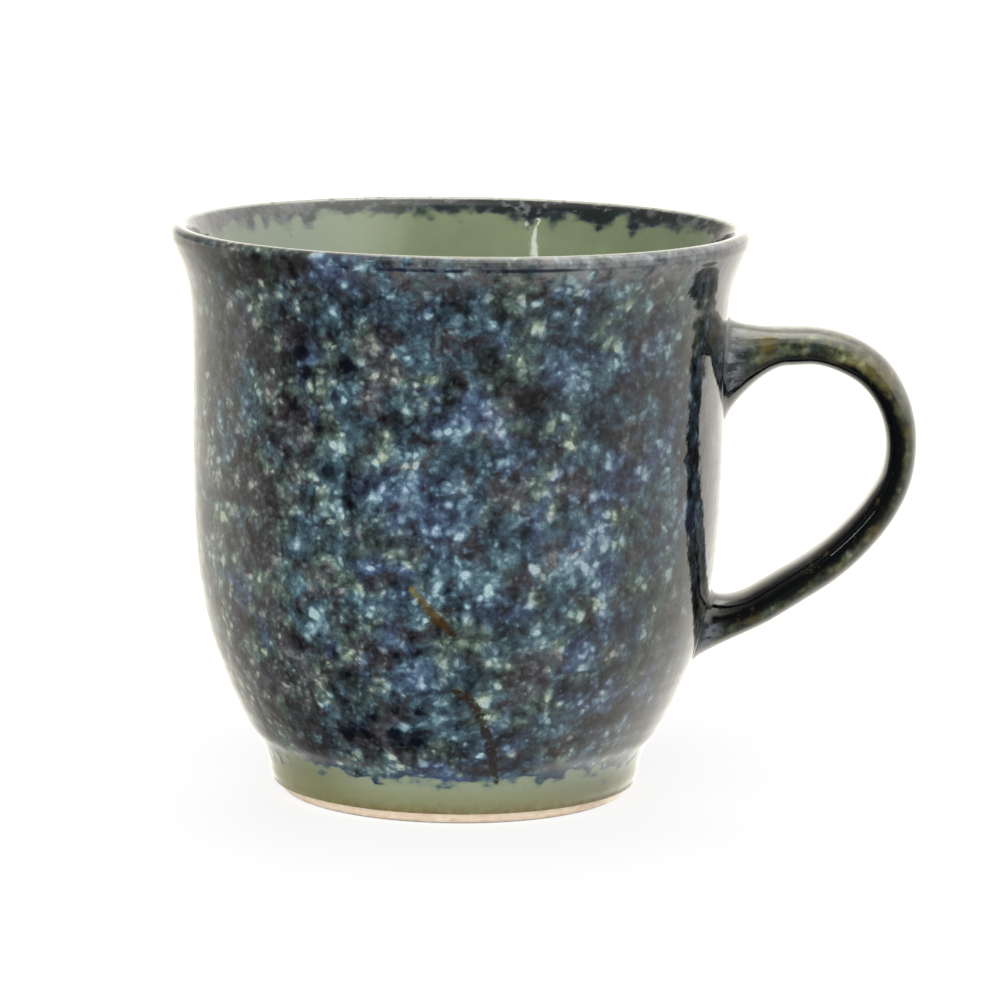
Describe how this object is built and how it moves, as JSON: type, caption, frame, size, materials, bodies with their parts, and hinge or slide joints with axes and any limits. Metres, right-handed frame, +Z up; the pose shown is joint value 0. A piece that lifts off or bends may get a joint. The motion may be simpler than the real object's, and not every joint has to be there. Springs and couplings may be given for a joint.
{
  "type": "ceramic mug",
  "caption": "Wheel-thrown stoneware mug with a flared lip, turned bare-clay foot, pulled strap handle and a sponged blue glaze over celadon.",
  "frame": {"origin": "centre of the foot's flat resting ring, on the table", "axes": "+Z up along the mug's axis, +X towards the handle, -Y the side shown with the handle on its right"},
  "size_m": [0.1231, 0.0948, 0.094],
  "materials": {
    "body_clay": "fired stoneware, matte",
    "bare_clay": "bare fired clay, turned, matte",
    "celadon": "glossy celadon glaze",
    "sponged_blue": "glossy glaze, sponged in navy, slate and pale blue",
    "rim_blue": "glossy glaze, sponged",
    "handle_olive": "glossy glaze, dark olive with golden breaks",
    "iron_brown": "glossy iron-brown brush stroke"
  },
  "bodies": {
    "root": {"thrown_body": "body_clay", "foot_ring": "bare_clay", "handle_strap": "body_clay", "upper_lute": "body_clay", "lower_lute": "body_clay", "celadon_band": "celadon", "mottled_glaze": "sponged_blue", "rim_glaze": "rim_blue", "liner_glaze": "celadon", "foot_well_glaze": "celadon", "handle_glaze": "handle_olive", "iron_strokes": "iron_brown"}
  },
  "joints": []
}
